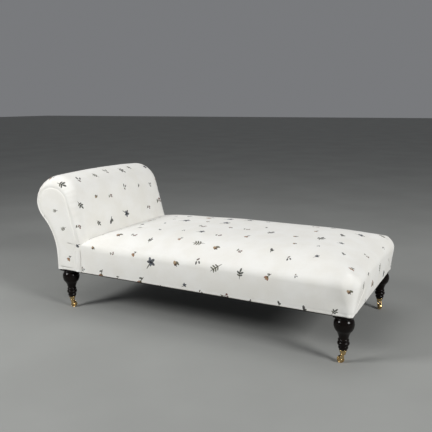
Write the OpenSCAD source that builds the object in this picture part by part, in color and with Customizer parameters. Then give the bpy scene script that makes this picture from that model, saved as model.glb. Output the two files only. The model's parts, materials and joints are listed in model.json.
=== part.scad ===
// Fainting couch with one scroll-over head end, a sprung seat and four turned legs on brass castors.
// Millimetres. X runs from the head to the foot, Y from the near side to the far side, Z is up.
// The origin is on the floor under the middle of the whole couch.

/* [Body] */
// Length of the body at its bottom edge
body_l = 1600; // [1400:10:1900]
// Width of the body at its bottom edge
body_w = 806; // [650:2:950]
// Height of the body's bottom edge over the floor
body_z = 220; // [190:1:260]
// How far the seat's walls swell outwards
side_bulge = 8; // [2:1:14]
// Thickness of the top cloth with its wadding
cover_t = 7; // [4:0.5:10]

/* [Seat] */
// Height of the straight part of the seat's walls
wall_h = 120; // [95:1:140]
// Radius of the seat's rolled edge
edge_r = 50; // [40:1:70]
// How far the crown rises over the rolled edge
crown_h = 80; // [30:1:90]
// Plan radius of the corners at the bottom edge
corner_r = 16; // [12:1:30]
// Plan radius of the corners at the rolled edge
corner_top_r = 60; // [40:1:90]

/* [Head] */
// Height of the roll's centre over the floor
roll_z = 586; // [540:2:680]
// Radius of the roll
roll_r = 127; // [100:1:140]
// How far the roll swells at mid width
roll_crown = 10; // [0:1:12]
// Radius of the hollow under the roll
neck_r = 300; // [240:5:340]
// Lean of the inner face from upright, in degrees
lean_a = 13.8; // [8:0.2:20]
// Height of the crease between seat and head over the floor
crease_z = 375; // [362:1:395]
// Radius at which the roll turns over to the facings
roll_edge_r = 45; // [30:1:55]
// Thickness of the scroll facings
facing_t = 3; // [2:0.5:5]
// Thickness of the stuffing over the head's frame
pad_t = 36; // [24:1:44]

/* [Frame] */
// Thickness of the seat rails
rail_t = 25; // [20:1:26]
// Thickness of the scroll boards
board_t = 22; // [18:1:26]
// Side of the square corner blocks
corner_block = 60; // [50:1:80]
// Number of springs along the seat
spring_cols = 6; // [4:1:7]
// Number of springs across the seat
spring_rows = 3; // [2:1:4]
// Radius of a spring's end coils
spring_r = 48; // [36:1:52]
// Width of the webbing
web_w = 50; // [40:1:56]

/* [Legs] */
// Distance of the head legs' square blocks from the head end
block_in_head = 12; // [6:1:30]
// Distance of the foot legs' square blocks from the foot end
block_in_foot = 4; // [2:1:30]
// Distance of the square blocks from the long sides
block_in_side = 0; // [0:1:20]
// Largest radius of a leg
leg_r = 46; // [38:1:52]
// Thickness of the square block over a leg
block_h = 10; // [6:1:14]
// Side of the square block over a leg
block_w = 80; // [76:1:80]

/* [Castors] */
// Height of a castor, from the floor to the cup's rim
castor_h = 60; // [56:1:70]
// Radius of a wheel
wheel_r = 16; // [14:0.5:18]
// Width of a wheel
wheel_w = 15; // [12:0.5:16]
// Distance of a wheel's axle from the swivel's axis
trail = 9; // [7:0.5:10]
// Radius of the cup's rim
cup_r = 17.7; // [16:0.1:20]

/* [Hidden] */
$fn = 48;

cloth = "#ece9e1";
lining = "#26241f";
jute = "#b79c6c";
hair = "#8f7f68";
beech = "#c79f6d";
ebony = "#1d1613";
brass = "#c9a44c";
steel = "#8e9296";

// Clearance between neighbours, and the overrun of cuts
gap = 0.3;
over = 5;

// Ends of the body along X, with the roll past the head end and the bulge past the foot end
total_l = roll_crown + roll_r + body_l + side_bulge;
x_head = -total_l / 2 + roll_crown + roll_r;
x_foot = x_head + body_l;
half_w = body_w / 2;

// Levels inside the body
web_t = 2;
rail_z0 = body_z + 2 * web_t;
rail_z1 = body_z + wall_h;
twine_r = 1.5;
hess_t = 1.5;
hess_z = rail_z1 + 4 * twine_r;
stuff_z = hess_z + hess_t + gap;
frame_y = half_w - cover_t - gap;
edge_back_share = 0.2;
turn_back_r = edge_back_share * roll_edge_r;
frame_x0 = x_head + turn_back_r + gap;
frame_x1 = x_foot - cover_t - gap;

// Head outline: roll centre over the head end, neck arc tangent to the roll and to the head end
neck_dz = sqrt(pow(roll_r + neck_r, 2) - pow(neck_r, 2));
neck_z = roll_z - neck_dz;
neck_a = atan2(neck_dz, neck_r);
neck_steps = 7;
roll_steps = 18;
crease_share = 0.6;
// How far the edge turns over round the roll, by the angle from the front: most on top, least behind
turn_shares = [[lean_a, 1], [55, 1.2], [90, 1.2], [120, 0.95], [150, 0.45], [185, 0]];
// Negative, so that the head's side doesn't turn over at the seam where the seat's side meets it
seam_share = -edge_back_share / (1 - edge_back_share);
// Depth of the head below the crease, at the upright seam between seat and head
seam_run = 27;
seam_drop = 16;
seam_x = x_head + roll_r + seam_run;
seam_z = body_z + wall_h - seam_drop;
function lean_x(z) = x_head + (roll_r - (z - roll_z) * sin(lean_a)) / cos(lean_a);

// Points of the head outline: x, z, outward normal, and the share of the front inset
head_base = concat(
    [[x_head, body_z, -1, 0, 0]],
    [for (i = [0:neck_steps]) let (a = neck_a * i / neck_steps)
        [x_head - neck_r + neck_r * cos(a), neck_z + neck_r * sin(a), -cos(a), -sin(a), 0]],
    [for (i = [1:roll_steps])
        let (a = 180 + neck_a - (180 + neck_a - lean_a) * i / roll_steps)
        [x_head + roll_r * cos(a), roll_z + roll_r * sin(a), cos(a), sin(a),
            lookup(a, turn_shares)]],
    [[lean_x(crease_z), crease_z, cos(lean_a), sin(lean_a), crease_share],
     [seam_x, seam_z, 1, 0, seam_share],
     [seam_x, body_z, 1, 0, seam_share]]);

// The head outline moved in by e over the roll and inner face, and by eb over the outer back,
// and swollen by a crown that fades out down to the crease
function head_pts(e, eb, crown = 0) = [for (p = head_base)
    let (d = p[4] * e + (1 - p[4]) * eb - max(0, p[4]) * crown * min(1, max(0, (p[1] - crease_z) / roll_r)))
    [p[0] - p[2] * d, p[1] - p[3] * d]];

// A solid from rings of points that all have the same count, closed at both ends
module ringed(rings) {
    n = len(rings[0]);
    k = len(rings);
    sides = [for (j = [0:k - 2]) for (i = [0:n - 1]) let (a = j * n + i, b = j * n + (i + 1) % n)
        each [[a, a + n, b], [b, a + n, b + n]]];
    caps = [[for (i = [0:n - 1]) i], [for (i = [0:n - 1]) k * n - 1 - i]];
    polyhedron([for (r = rings) each r], concat(sides, caps), convexity = 6);
}

// A plate along Y with an outline in X and Z
module across(y0, y1) {
    translate([0, y1, 0]) rotate([90, 0, 0]) linear_extrude(y1 - y0, convexity = 6) children();
}

// Box between two corners
module box(a, b) {
    translate(a) cube(b - a);
}

// Seat form: rings inset by d at height z, with a plan corner radius
wall_steps = 3;
edge_steps = 6;
crown_steps = 6;
edge_sweep = 52;
crown_power = 4;
crown_spacing_power = 1.5;
crown_end_share = 0.97;
corner_steps = 5;
corner_soft_share = 0.5;
corner_limit_share = 0.9;
// The head end of the seat form lies inside the head
seat_tuck = 9;
seat_x0 = x_head + roll_r - seat_tuck;
edge_end_d = -side_bulge + edge_r * (1 - cos(edge_sweep));
edge_end_z = rail_z1 + edge_r * sin(edge_sweep);

// Rise of the crown at a point, as a share: it levels off inwards from the base inset on each side,
// slowly from the head's end, and rounds off where two sides meet
crown_reach = half_w - edge_end_d;
head_reach = 700;
meet_power = 3;
function rise(g, reach) = 1 - pow(1 - min(1, max(0, g) / reach), crown_power);
function crown_at(p, base) = let (v = [rise(x_foot - base - p[0], crown_reach),
        rise(half_w - base - abs(p[1]), crown_reach), rise(p[0] - seat_x0 - base, head_reach)])
    min(v) <= 0 ? 0 : pow(pow(v[0], -meet_power) + pow(v[1], -meet_power) + pow(v[2], -meet_power) - 2,
        -1 / meet_power);

// Profile rows of the form moved in by t: inset, height, corner radius, share of the crown, its base inset
function seat_rows(t) = concat(
    [for (i = [0:wall_steps - 1]) let (s = i / wall_steps)
        [t - side_bulge * sin(90 * s), body_z + wall_h * s,
            corner_r + (corner_top_r - corner_r) * s * s, 0, 0]],
    [for (i = [0:edge_steps - 1]) let (a = edge_sweep * i / edge_steps,
            d = edge_r - side_bulge - (edge_r - t) * cos(a))
        [d, rail_z1 + (edge_r - t) * sin(a), corner_top_r, pow(i / edge_steps, 2), d]],
    [for (i = [0:crown_steps]) let (s = pow(i / crown_steps, crown_spacing_power) * crown_end_share,
            d = edge_end_d + crown_reach * s, shift = t * (1 - s) * cos(edge_sweep))
        [d + shift, edge_end_z - t, corner_top_r + corner_soft_share * (d - edge_end_d), 1,
            edge_end_d + shift]]);

side_points = 5;
function seat_ring(row) = let (
        d = row[0],
        hy = half_w - d,
        x0 = seat_x0 + max(0, d),
        x1 = x_foot - d,
        r = min(row[2], hy * corner_limit_share),
        run = x1 - x0 - 2 * r,
        far = [for (c = [[x1 - r, 0], [x0 + r, 90]]) each concat(
            [for (i = [0:corner_steps]) let (a = c[1] + 90 * i / corner_steps)
                [c[0] + r * cos(a), hy - r + r * sin(a)]],
            c[1] > 0 ? [] : [for (i = [1:side_points]) [x1 - r - run * i / (side_points + 1), hy]])],
        n = len(far))
    [for (p = concat(far, [for (i = [n - 1:-1:0]) [far[i][0], -far[i][1]]]))
        [p[0], p[1], row[1] + (row[3] > 0 ? row[3] * crown_h * crown_at(p, row[4]) : 0)]];

// A ring mirrored across Y is closed by bars between its mirrored points
module seat_form(t, z0) {
    rows = seat_rows(t);
    rings = [for (row = z0 < body_z ? concat([[rows[0][0], z0, rows[0][2], 0, 0]], rows) : rows)
        seat_ring(row)];
    n = len(rings[0]);
    k = len(rings);
    sides = [for (j = [0:k - 2]) for (i = [0:n - 1]) let (a = j * n + i, b = j * n + (i + 1) % n)
        each [[a, a + n, b], [b, a + n, b + n]]];
    top = [for (i = [0:n / 2 - 2]) let (a = k * n - n)
        [a + n - 1 - i, a + n - 2 - i, a + i + 1, a + i]];
    polyhedron([for (r = rings) each r], concat(sides, [[for (i = [0:n - 1]) i]], top), convexity = 6);
}

// The room that the head takes in the seat form
module head_room(e) {
    across(-half_w - side_bulge - over, half_w + side_bulge + over)
        polygon([[seat_x0 - over - corner_top_r, body_z - over], [seam_x + e, body_z - over],
            [seam_x + e, seam_z], [lean_x(crease_z) + e, crease_z],
            [lean_x(roll_z) + 2 * roll_crown + e, roll_z], [seat_x0 - over - corner_top_r, roll_z]]);
}

// Head form: the outline swept along Y, crowned in the middle and turned over at both ends.
// A row is y or its side, the front inset, the back inset and the crown, for a surface that lies t deep,
// and in a turned row the angle of the turn and t.
head_y = half_w - facing_t;
turn_steps = 4;
crown_share = 0.3;
turn_w_share = 0.45;
turn_w_gain_share = 0.8;
function turn_row(i, side, t) = let (a = 90 * i / turn_steps)
    [side, roll_edge_r - (roll_edge_r - t) * sin(a), turn_back_r - (turn_back_r - t) * sin(a), 0, a, t];
function head_rows(t, first = 0) = concat(
    [for (i = [first:turn_steps]) turn_row(i, -1, t)],
    [for (s = [-2:2]) [s * crown_share * head_y, t, t, roll_crown * (1 - pow(s * crown_share, 2))]],
    [for (i = [turn_steps:-1:first]) turn_row(i, 1, t)]);

// Place across of a row's point: in a turned row, the turn is wider where its share is greater
function row_y(row, share) = len(row) < 6 ? row[0] : let (
        w = roll_edge_r * (turn_w_share + turn_w_gain_share * max(0, share)))
    row[0] * (head_y - w + (w - row[5]) * cos(row[4]));

// Grid of points: the outline's points i0 to i1 in each row
function head_grid(rows, i0, i1) = [for (row = rows) let (p = head_pts(row[1], row[2], row[3]))
    [for (i = [i0:i1]) [p[i][0], row_y(row, head_base[i][4]), p[i][1]]]];

// A sheet with thickness, from two grids of the same counts
module thick_sheet(outer, inner) {
    n = len(outer[0]);
    k = len(outer);
    m = n * k;
    skins = [for (j = [0:k - 2]) for (i = [0:n - 2]) let (a = j * n + i, b = a + 1)
        each [[a, a + n, b], [b, a + n, b + n], [m + a, m + b, m + a + n], [m + b, m + b + n, m + a + n]]];
    rows = [for (i = [0:n - 2]) let (a = i, b = i + 1, c = m - n + i, d = c + 1)
        each [[a, b, m + b], [a, m + b, m + a], [d, c, m + c], [d, m + c, m + d]]];
    columns = [for (j = [0:k - 2]) let (a = j * n, b = a + n, c = b - 1, d = c + n)
        each [[b, a, m + a], [b, m + a, m + b], [c, d, m + d], [c, m + d, m + c]]];
    polyhedron(concat([for (r = outer) each r], [for (r = inner) each r]), concat(skins, rows, columns),
        convexity = 6);
}

// The outline's points: up the outer back to the neck's end, over the roll, and down to the crease
neck_i = neck_steps + 1;
crease_i = neck_i + roll_steps + 1;
module head_cloth(i0, i1) {
    color(cloth) thick_sheet(head_grid(head_rows(0), i0, i1), head_grid(head_rows(cover_t), i0, i1));
}

module head_cover() {
    head_cloth(neck_i, crease_i);
}

module outer_back_cover() {
    head_cloth(0, neck_i);
}

// Side of the head under the facing, within the covers' turned edges
side_t = 4;
module side_panel(side) {
    y = side * (head_y - side_t / 2);
    color(cloth) across(y - side_t / 2, y + side_t / 2)
        polygon(head_pts(roll_edge_r + gap, turn_back_r + gap));
}

// Scroll facing on the near side (side -1) or the far side (side 1)
seam_gap = 4;
facing_in = roll_edge_r + seam_gap;
facing_back_in = 26;
facing_foot = 15;
module facing(side) {
    y = side * (half_w - facing_t / 2);
    color(cloth) across(y - facing_t / 2, y + facing_t / 2) difference() {
        polygon(head_pts(facing_in, facing_back_in));
        translate([x_head - over, body_z - over]) square([seam_x - x_head + 2 * over, facing_foot + over]);
    }
}

// Frame of the head, under the stuffing
pad_in = cover_t + gap + pad_t;
back_in = cover_t + gap + turn_back_r;
board_in = pad_in + 2 * hess_t + web_t;
board_y1 = head_y - cover_t - gap;
board_y0 = board_y1 - board_t;
module under_head(e, eb) {
    intersection() {
        polygon(head_pts(e, eb));
        translate([x_head - roll_r, rail_z1]) square([total_l, 2 * roll_z]);
    }
}

module scroll_board(side) {
    y = side * (board_y0 + board_y1) / 2;
    color(beech) across(y - board_t / 2, y + board_t / 2) under_head(board_in, back_in + hess_t + web_t);
}

// Bars between the scroll boards, each cut back to the boards' outline. Low down, a bar takes its share
// of the room between the boards' front and back edges.
bar_h = 40;
bar_share = 0.39;
lean_rail_z = hess_z + bar_h / 2 + rail_t;
bar_w = bar_share * (lean_x(lean_rail_z) - board_in - x_head - back_in);
module head_bar(x, z, w, h) {
    color(beech) across(-board_y0, board_y0) intersection() {
        under_head(board_in, back_in + hess_t + web_t);
        translate([x - w / 2, z - h / 2]) square([w, h]);
    }
}

module roll_rail() {
    head_bar(x_head + bar_w / 2, roll_z + roll_r - board_in - bar_h / 2, bar_w, bar_h);
}

module lean_rail() {
    head_bar(lean_x(lean_rail_z) - board_in - bar_w / 2, lean_rail_z, bar_w + 2 * over, bar_h);
}

module tack_rail() {
    head_bar(x_head + back_in + bar_w / 2, lean_rail_z, bar_w, bar_h);
}

// Height at which the stuffing starts under the roll
roll_pad_z = roll_z - roll_r / 2;

// Layer of thickness t on the head outline, open at the back and below
module head_layer(e, eb, t, z0) {
    intersection() {
        difference() {
            polygon(head_pts(e, eb));
            polygon(head_pts(e + t, eb + t));
        }
        union() {
            translate([x_head - roll_r, roll_pad_z]) square([total_l, 2 * roll_z]);
            translate([x_head + roll_r / 2, z0]) square([total_l, 2 * roll_z]);
        }
    }
}

head_straps = 5;
module head_webbing() {
    pitch = (2 * board_y0 - web_w) / head_straps;
    color(jute) for (i = [0:head_straps - 1]) let (y = (i - (head_straps - 1) / 2) * pitch)
        across(y - web_w / 2, y + web_w / 2)
            head_layer(board_in - web_t, back_in + hess_t, web_t, lean_rail_z - bar_h / 2);
}

module head_hessian() {
    color(jute) across(-board_y1 + over, board_y1 - over)
        head_layer(board_in - web_t - hess_t, back_in, hess_t, lean_rail_z - bar_h / 2);
}

// First point of the outline that the roll's stuffing reaches, and the rows at its ends that it leaves
stuffing_i = neck_i + 2;
module head_stuffing() {
    outer = head_rows(cover_t + gap, 1);
    color(hair) thick_sheet(head_grid(outer, stuffing_i, crease_i),
        head_grid([for (row = outer) concat([row[0], board_in - web_t - hess_t, back_in, 0],
            [for (i = [4:len(row) - 1]) row[i]])], stuffing_i, crease_i));
}

// Seat upholstery
module seat_cover() {
    color(cloth) difference() {
        seat_form(0, body_z);
        seat_form(cover_t, body_z - over);
        head_room(0);
        box([seat_x0 - over, -half_w + cover_t, body_z - over],
            [x_foot - cover_t, half_w - cover_t, rail_z1]);
    }
}

module seat_stuffing() {
    color(hair) difference() {
        seat_form(cover_t + gap, body_z);
        head_room(gap);
        box([seat_x0 - over, -half_w - over, body_z - over], [x_foot + over, half_w + over, stuff_z]);
    }
}

module seat_hessian() {
    color(jute) box([seam_x + rail_t, -frame_y + rail_t / 2, hess_z],
        [frame_x1 - rail_t / 2, frame_y - rail_t / 2, hess_z + hess_t]);
}

// Seat frame
module side_rail(side) {
    y = side * (frame_y - rail_t / 2);
    color(beech) box([frame_x0, y - rail_t / 2, rail_z0], [frame_x1, y + rail_t / 2, rail_z1]);
}

module end_rail(x) {
    color(beech) box([x, -frame_y + rail_t, rail_z0], [x + rail_t, frame_y - rail_t, rail_z1]);
}

stretcher_off = 60;
stretcher_x = (x_head + x_foot) / 2 + stretcher_off;
stretcher_h = 44;
module centre_stretcher() {
    color(beech) box([stretcher_x - rail_t / 2, -frame_y + rail_t, rail_z0],
        [stretcher_x + rail_t / 2, frame_y - rail_t, rail_z0 + stretcher_h]);
}

leg_x = [x_head + block_in_head + block_w / 2, x_foot - block_in_foot - block_w / 2];
leg_y = half_w - block_in_side - block_w / 2;
bolt_r = 4;
bolt_h = 88;
bolt_drop = 36;
bolt_z = body_z - bolt_drop;
module at_legs() {
    for (x = leg_x) for (y = [-leg_y, leg_y]) translate([x, y, 0]) children();
}

module corner_blocks() {
    block_z = rail_z1 - rail_z0 - rail_t;
    color(beech) difference() {
        for (x = [frame_x0 + rail_t, frame_x1 - rail_t - corner_block])
            for (y = [-frame_y + rail_t, frame_y - rail_t - corner_block])
                translate([x, y, rail_z0]) cube([corner_block, corner_block, block_z]);
        at_legs() translate([0, 0, body_z - over]) cylinder(r = bolt_r, h = bolt_h);
    }
}

module leg_bolts() {
    color(steel) at_legs() translate([0, 0, bolt_z]) cylinder(r = bolt_r, h = bolt_h);
}

block_top_w = 62;
module leg_blocks() {
    color(ebony) difference() {
        at_legs() {
            translate([-block_w / 2, -block_w / 2, body_z - block_h]) cube([block_w, block_w, block_h]);
            translate([-block_top_w / 2, -block_top_w / 2, body_z])
                cube([block_top_w, block_top_w, rail_z0 - body_z]);
        }
        at_legs() translate([0, 0, body_z - block_h - over])
            cylinder(r = bolt_r, h = block_h + 4 * over);
    }
}

// Places of the springs, with a strap under each and one between
spring_x0 = seam_x + spring_r + rail_t;
spring_x1 = leg_x[1] - block_top_w / 2 - web_w / 2 - over;
spring_y1 = frame_y - rail_t - corner_block - spring_r;
function spring_x(i) = spring_x0 + (spring_x1 - spring_x0) * i / (spring_cols - 1);
function spring_y(j) = -spring_y1 + 2 * spring_y1 * j / (spring_rows - 1);
module webbing_cross() {
    color(jute) for (i = [0:0.5:spring_cols - 1])
        box([spring_x(i) - web_w / 2, -frame_y + over, body_z + web_t],
            [spring_x(i) + web_w / 2, frame_y - over, rail_z0]);
}

module webbing_long() {
    color(jute) for (j = [0:0.5:spring_rows - 1])
        box([frame_x0 + over, spring_y(j) - web_w / 2, body_z],
            [frame_x1 - over, spring_y(j) + web_w / 2, body_z + web_t]);
}

// Hourglass springs: one wire in open turns between its end coils
wire_r = 2;
spring_turns = 4;
turn_points = 6;
waist_share = 0.62;
spring_h = rail_z1 - rail_z0 - 2 * wire_r;
module spring() {
    n = spring_turns * turn_points;
    ringed([for (i = [0:n]) let (s = i / n, a = 360 * i / turn_points,
            r = spring_r - wire_r - (spring_r * (1 - waist_share)) * sin(180 * s),
            z = rail_z0 + wire_r + spring_h * s)
        [for (c = [270:-90:0]) [(r + wire_r * cos(c)) * cos(a), (r + wire_r * cos(c)) * sin(a),
            z + wire_r * sin(c)]]]);
}

module seat_springs() {
    color(steel) for (i = [0:spring_cols - 1]) for (j = [0:spring_rows - 1])
        translate([spring_x(i), spring_y(j), 0]) spring();
}

// Twine that ties the springs' tops: along the seat, then across on top
module lashing_long() {
    color(jute) for (j = [0:spring_rows - 1])
        translate([seam_x + rail_t, spring_y(j), rail_z1 + twine_r]) rotate([0, 90, 0])
            cylinder(r = twine_r, h = frame_x1 - seam_x - rail_t - over);
}

module lashing_cross() {
    color(jute) for (i = [0:spring_cols - 1])
        translate([spring_x(i), frame_y - over, rail_z1 + 3 * twine_r]) rotate([90, 0, 0])
            cylinder(r = twine_r, h = 2 * (frame_y - over));
}

// Black lining under the frame, cut out round the leg blocks, and an ebonised bead round its edge
bead_w = 14;
bead_h = 6;
bead_in = 2;
lining_in = bead_in + bead_w + gap;
module dust_cover() {
    color(lining) difference() {
        box([x_head + lining_in, -half_w + lining_in, body_z - hess_t],
            [x_foot - lining_in, half_w - lining_in, body_z]);
        at_legs() translate([-block_w / 2 - gap, -block_w / 2 - gap, body_z - hess_t - over])
            cube([block_w + 2 * gap, block_w + 2 * gap, hess_t + 2 * over]);
    }
}

module base_beading() {
    color(ebony) difference() {
        box([x_head + bead_in, -half_w + bead_in, body_z - bead_h],
            [x_foot - bead_in, half_w - bead_in, body_z]);
        box([x_head + bead_in + bead_w, -half_w + bead_in + bead_w, body_z - bead_h - over],
            [x_foot - bead_in - bead_w, half_w - bead_in - bead_w, body_z + over]);
        at_legs() translate([-block_w / 2 - over, -block_w / 2 - over, body_z - bead_h - over])
            cube([block_w + 2 * over, block_w + 2 * over, bead_h + 2 * over]);
    }
}

// Turned leg: height share from the castor up, and radius share of the largest radius
leg_z0 = castor_h;
leg_h = body_z - block_h - leg_z0;
turning_shares = [[0, 0.385], [0.03, 0.4], [0.055, 0.46], [0.075, 0.475], [0.1, 0.46], [0.125, 0.43],
    [0.145, 0.46], [0.17, 0.57], [0.2, 0.585], [0.23, 0.56], [0.25, 0.475], [0.265, 0.48], [0.29, 0.53],
    [0.315, 0.525], [0.335, 0.48], [0.37, 0.485], [0.47, 0.575], [0.54, 0.685], [0.61, 0.86],
    [0.68, 0.96], [0.755, 1], [0.83, 0.975], [0.895, 0.9], [0.94, 0.81], [0.955, 0.8], [0.965, 0.86],
    [1, 0.86]];
tip_h = 13;
cup_wall_t = 1.7;
tip_taper = 3.8;
tip_r1 = cup_r - cup_wall_t;
tip_r0 = tip_r1 - tip_taper;
module leg(x, y) {
    color(ebony) translate([x, y, 0]) difference() {
        union() {
            rotate_extrude() polygon(concat([[0, leg_z0]],
                [for (p = turning_shares) [p[1] * leg_r, leg_z0 + p[0] * leg_h]],
                [[0, leg_z0 + leg_h]]));
            translate([0, 0, leg_z0 - tip_h]) cylinder(r1 = tip_r0, r2 = tip_r1, h = tip_h);
        }
        translate([0, 0, bolt_z]) cylinder(r = bolt_r, h = bolt_h);
        translate([0, 0, leg_z0 - tip_h - over]) cylinder(r = screw_r, h = screw_h + over);
    }
}

// Castor cup with a round foot, drilled for the screw and holding the swivel pin
screw_r = 2;
screw_h = 34;
cup_floor = 4;
cup_foot_r = 12.7;
pin_r = 4;
fork_t = 4;
fork_z1 = leg_z0 - tip_h - cup_floor - 2 * gap;
fork_z0 = fork_z1 - fork_t;
pin_head_h = 1.2;
pin_head_r = 6;
run = 0.05;
module cup(x, y) {
    cup_z0 = leg_z0 - tip_h - cup_floor;
    color(brass) translate([x, y, 0]) {
        difference() {
            union() {
                translate([0, 0, cup_z0]) cylinder(r1 = cup_foot_r, r2 = cup_r, h = tip_h + cup_floor);
                translate([0, 0, fork_z0 - 2 * gap]) cylinder(r = pin_r, h = cup_z0 - fork_z0 + 2 * gap);
                translate([0, 0, fork_z0 - 2 * gap - pin_head_h]) cylinder(r = pin_head_r, h = pin_head_h);
            }
            translate([0, 0, leg_z0 - tip_h]) cylinder(r1 = tip_r0, r2 = tip_r1, h = tip_h);
            translate([0, 0, cup_z0 + screw_head_h]) cylinder(r = screw_r, h = cup_floor + tip_h);
        }
    }
}

screw_head_h = 1;
module cup_screws() {
    color(brass) at_legs() translate([0, 0, leg_z0 - tip_h - cup_floor + screw_head_h])
        cylinder(r = screw_r, h = cup_floor - screw_head_h + screw_h);
}

// Fork, axle and wheel of one castor, drawn with the wheel trailing along +X
horn_t = 3;
horn_y0 = wheel_w / 2 + 2 * gap;
horn_w = 12;
axle_r = 2.5;
axle_head_r = 4;
axle_head_t = 1.5;
module fork_shape() {
    crown_r = 11.5;
    difference() {
        union() {
            translate([0, 0, fork_z0]) cylinder(r = crown_r, h = fork_t);
            for (side = [-1, 1]) let (y = side * (horn_y0 + horn_t / 2))
                across(y - horn_t / 2, y + horn_t / 2) {
                    translate([trail, wheel_r]) circle(r = horn_w / 2);
                    polygon([[trail - horn_w / 2, wheel_r], [trail + horn_w / 2, wheel_r],
                        [horn_w / 2, fork_z1], [-horn_w / 2, fork_z1]]);
                }
        }
        translate([0, 0, fork_z0 - over]) cylinder(r = pin_r + run, h = fork_t + 2 * over);
        translate([trail, 0, wheel_r]) rotate([90, 0, 0])
            cylinder(r = axle_r, h = 2 * (horn_y0 + horn_t + over), center = true);
    }
}

module axle_shape() {
    half_l = horn_y0 + horn_t;
    translate([trail, 0, wheel_r]) rotate([90, 0, 0]) {
        cylinder(r = axle_r, h = 2 * half_l, center = true);
        for (z = [-half_l - axle_head_t, half_l])
            translate([0, 0, z]) cylinder(r = axle_head_r, h = axle_head_t);
    }
}

tread_drop = 1.2;
hub_r = 6;
web_wheel_w = 8;
module wheel_shape() {
    w = wheel_w / 2;
    translate([trail, 0, wheel_r]) rotate([90, 0, 0]) rotate_extrude()
        polygon([[axle_r + run, -w], [hub_r, -w], [hub_r + tread_drop, -web_wheel_w / 2],
            [wheel_r - 3 * tread_drop, -web_wheel_w / 2], [wheel_r - 2 * tread_drop, -w],
            [wheel_r - tread_drop, -w], [wheel_r, -w + tread_drop], [wheel_r, w - tread_drop],
            [wheel_r - tread_drop, w], [wheel_r - 2 * tread_drop, w],
            [wheel_r - 3 * tread_drop, web_wheel_w / 2], [hub_r + tread_drop, web_wheel_w / 2],
            [hub_r, w], [axle_r + run, w]]);
}

// Where each castor stands and how its wheel trails at rest, in degrees from +X
castor_head_front = [leg_x[0], -leg_y, 12];
castor_head_back = [leg_x[0], leg_y, 150];
castor_foot_front = [leg_x[1], -leg_y, 200];
castor_foot_back = [leg_x[1], leg_y, -60];
module castor(c) {
    color(brass) translate([c[0], c[1], 0]) rotate([0, 0, c[2]]) children();
}

side_rail(-1);  // front_rail
side_rail(1);  // back_rail
end_rail(frame_x1 - rail_t);  // foot_rail
end_rail(frame_x0);  // head_rail
centre_stretcher();
corner_blocks();
webbing_cross();
webbing_long();
seat_springs();
lashing_long();
lashing_cross();
seat_hessian();
seat_stuffing();
seat_cover();
dust_cover();
base_beading();
scroll_board(-1);  // scroll_board_front
scroll_board(1);  // scroll_board_back
roll_rail();
lean_rail();
tack_rail();
head_webbing();
head_hessian();
head_stuffing();
head_cover();
outer_back_cover();
side_panel(-1);  // side_panel_front
side_panel(1);  // side_panel_back
facing(-1);  // facing_front
facing(1);  // facing_back
leg_blocks();
leg_bolts();
cup_screws();
leg(leg_x[0], -leg_y);  // leg_head_front
leg(leg_x[0], leg_y);  // leg_head_back
leg(leg_x[1], -leg_y);  // leg_foot_front
leg(leg_x[1], leg_y);  // leg_foot_back
cup(leg_x[0], -leg_y);  // cup_head_front
cup(leg_x[0], leg_y);  // cup_head_back
cup(leg_x[1], -leg_y);  // cup_foot_front
cup(leg_x[1], leg_y);  // cup_foot_back
castor(castor_head_front) fork_shape();  // fork_head_front
castor(castor_head_back) fork_shape();  // fork_head_back
castor(castor_foot_front) fork_shape();  // fork_foot_front
castor(castor_foot_back) fork_shape();  // fork_foot_back
castor(castor_head_front) axle_shape();  // axle_head_front
castor(castor_head_back) axle_shape();  // axle_head_back
castor(castor_foot_front) axle_shape();  // axle_foot_front
castor(castor_foot_back) axle_shape();  // axle_foot_back
castor(castor_head_front) wheel_shape();  // wheel_head_front
castor(castor_head_back) wheel_shape();  // wheel_head_back
castor(castor_foot_front) wheel_shape();  // wheel_foot_front
castor(castor_foot_back) wheel_shape();  // wheel_foot_back
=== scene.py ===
"""Looks of the fainting couch: printed cloth, lining, turned legs and brass castors on the frame."""

import json
import math

import bpy
import numpy as np
from mathutils import Matrix, Vector, noise


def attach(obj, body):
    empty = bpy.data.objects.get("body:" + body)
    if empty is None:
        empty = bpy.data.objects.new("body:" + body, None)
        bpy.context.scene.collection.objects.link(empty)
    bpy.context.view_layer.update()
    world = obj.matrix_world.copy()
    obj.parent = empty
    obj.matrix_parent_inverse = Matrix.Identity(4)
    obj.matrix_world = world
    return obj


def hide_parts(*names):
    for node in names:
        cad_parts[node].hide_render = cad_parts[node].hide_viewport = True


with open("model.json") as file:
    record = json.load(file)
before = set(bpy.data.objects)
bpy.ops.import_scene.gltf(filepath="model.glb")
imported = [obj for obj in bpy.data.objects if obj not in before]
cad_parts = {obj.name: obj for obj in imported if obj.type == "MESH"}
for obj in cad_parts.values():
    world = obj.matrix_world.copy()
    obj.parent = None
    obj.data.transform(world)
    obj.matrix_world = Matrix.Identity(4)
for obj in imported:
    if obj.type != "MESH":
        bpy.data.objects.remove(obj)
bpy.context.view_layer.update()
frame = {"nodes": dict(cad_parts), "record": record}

# Sizes of the couch in metres, with the names that the source of the solids gives them
MM = 0.001
X_HEAD = -735.5 * MM
X_FOOT = 864.5 * MM
HALF_W = 403 * MM
BODY_Z = 220 * MM
WALL_H = 120 * MM
WALL_TOP = BODY_Z + WALL_H
SIDE_BULGE = 8 * MM
CORNER_R = 16 * MM
CORNER_TOP_R = 60 * MM
EDGE_R = 50 * MM
EDGE_SWEEP = math.radians(52)
EDGE_END_D = -SIDE_BULGE + EDGE_R * (1 - math.cos(EDGE_SWEEP))
EDGE_END_Z = WALL_TOP + EDGE_R * math.sin(EDGE_SWEEP)
CROWN_H = 80 * MM
SEAT_X0 = X_HEAD + 118 * MM
ROLL_Z = 586 * MM
ROLL_R = 127 * MM
ROLL_CROWN = 10 * MM
NECK_R = 300 * MM
LEAN_A = math.radians(13.8)
CREASE_Z = 375 * MM
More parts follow.
